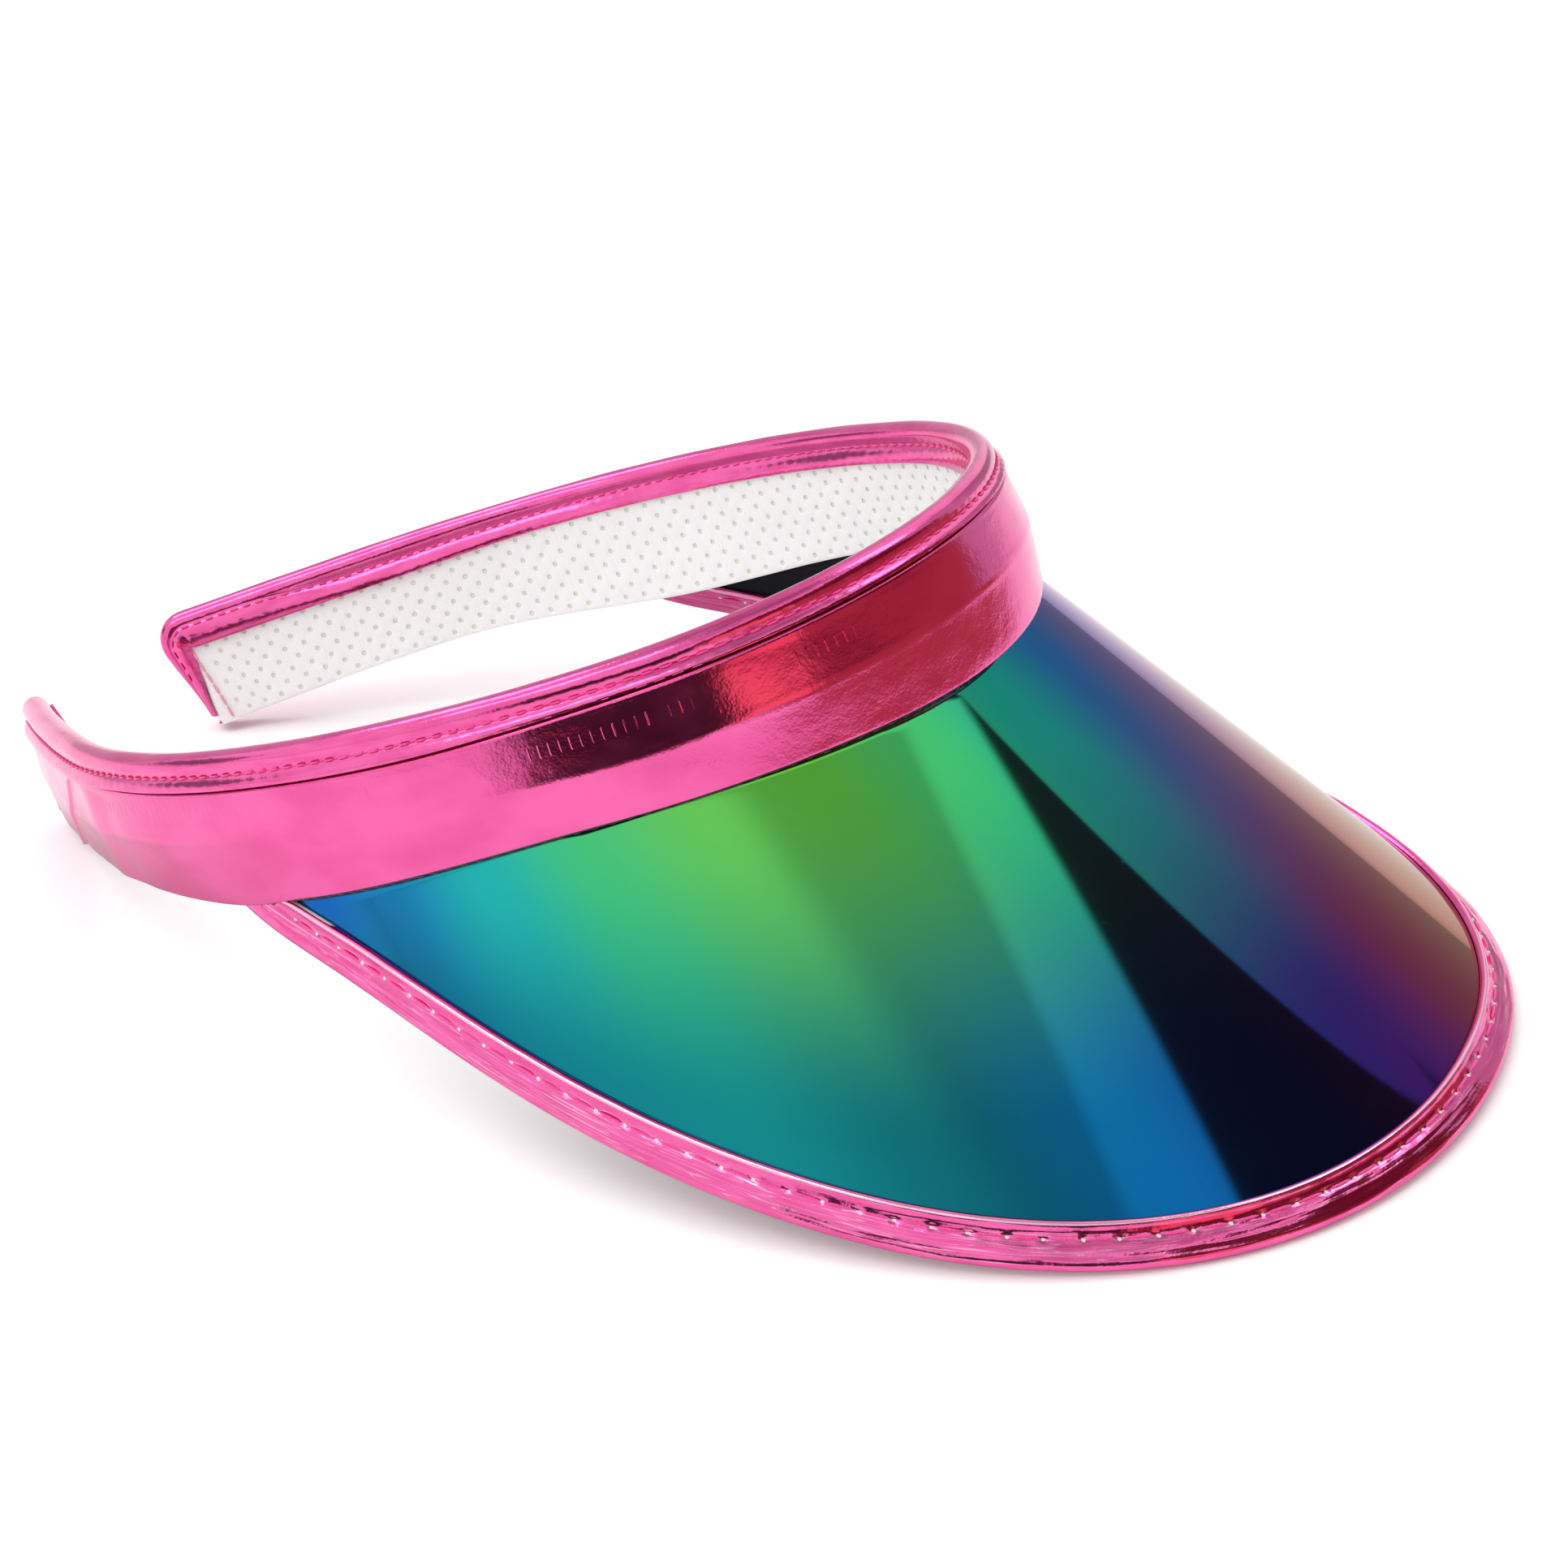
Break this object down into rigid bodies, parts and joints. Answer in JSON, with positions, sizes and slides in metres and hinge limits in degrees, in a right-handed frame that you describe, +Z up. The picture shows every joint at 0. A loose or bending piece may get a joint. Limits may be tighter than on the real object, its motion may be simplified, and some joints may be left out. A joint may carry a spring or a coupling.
{
  "type": "sun visor",
  "caption": "Clip-on sun visor: an open C-shaped padded headband with springy arms and a curved mirrored plastic brim.",
  "frame": {"origin": "centre of the footprint's box, on the surface that the visor stands on", "axes": "+Z up, the brim points towards -Y, +X across the band from the left arm to the right arm"},
  "size_m": [0.1716, 0.2992, 0.0892],
  "materials": {
    "foil": "metallic foil coated fabric",
    "binding_foil": "metallic foil tape",
    "lens": "rainbow mirror coating",
    "liner": "perforated white lining",
    "foam": "open-cell foam",
    "strip": "natural",
    "cord": "extruded",
    "pink_thread": "polyester thread",
    "dark_thread": "polyester thread"
  },
  "bodies": {
    "front": {"brim_lens": "lens", "brim_edge_binding": "binding_foil", "brim_edge_stitches": "pink_thread", "brim_seam_thread": "dark_thread", "front_cover": "foil", "front_outer_padding": "foam", "front_spring_strip": "strip", "front_inner_padding": "foam", "front_liner": "liner", "front_top_binding": "binding_foil", "front_piping_cord": "cord", "front_binding_threads": "pink_thread"},
    "left_arm": {"left_arm_cover": "foil", "left_arm_outer_padding": "foam", "left_arm_spring_strip": "strip", "left_arm_inner_padding": "foam", "left_arm_liner": "liner", "left_arm_top_binding": "binding_foil", "left_arm_piping_cord": "cord", "left_arm_binding_threads": "pink_thread", "left_arm_end_wrap": "liner", "left_arm_end_stitches": "pink_thread"},
    "right_arm": {"right_arm_cover": "foil", "right_arm_outer_padding": "foam", "right_arm_spring_strip": "strip", "right_arm_inner_padding": "foam", "right_arm_liner": "liner", "right_arm_top_binding": "binding_foil", "right_arm_piping_cord": "cord", "right_arm_binding_threads": "pink_thread", "right_arm_end_wrap": "liner", "right_arm_end_stitches": "pink_thread"}
  },
  "joints": [
    {"name": "left_arm_flex", "type": "hinge", "parent": "front", "child": "left_arm", "pos_m": [-0.07404, 0.06078, 0.05063], "axis": [0, 0.3034, 0.9529], "range_deg": [0, 14], "stiffness_Nm_per_rad": 0.5},
    {"name": "right_arm_flex", "type": "hinge", "parent": "front", "child": "right_arm", "pos_m": [0.07404, 0.06078, 0.05063], "axis": [0, -0.3034, -0.9529], "range_deg": [0, 14], "stiffness_Nm_per_rad": 0.5}
  ]
}
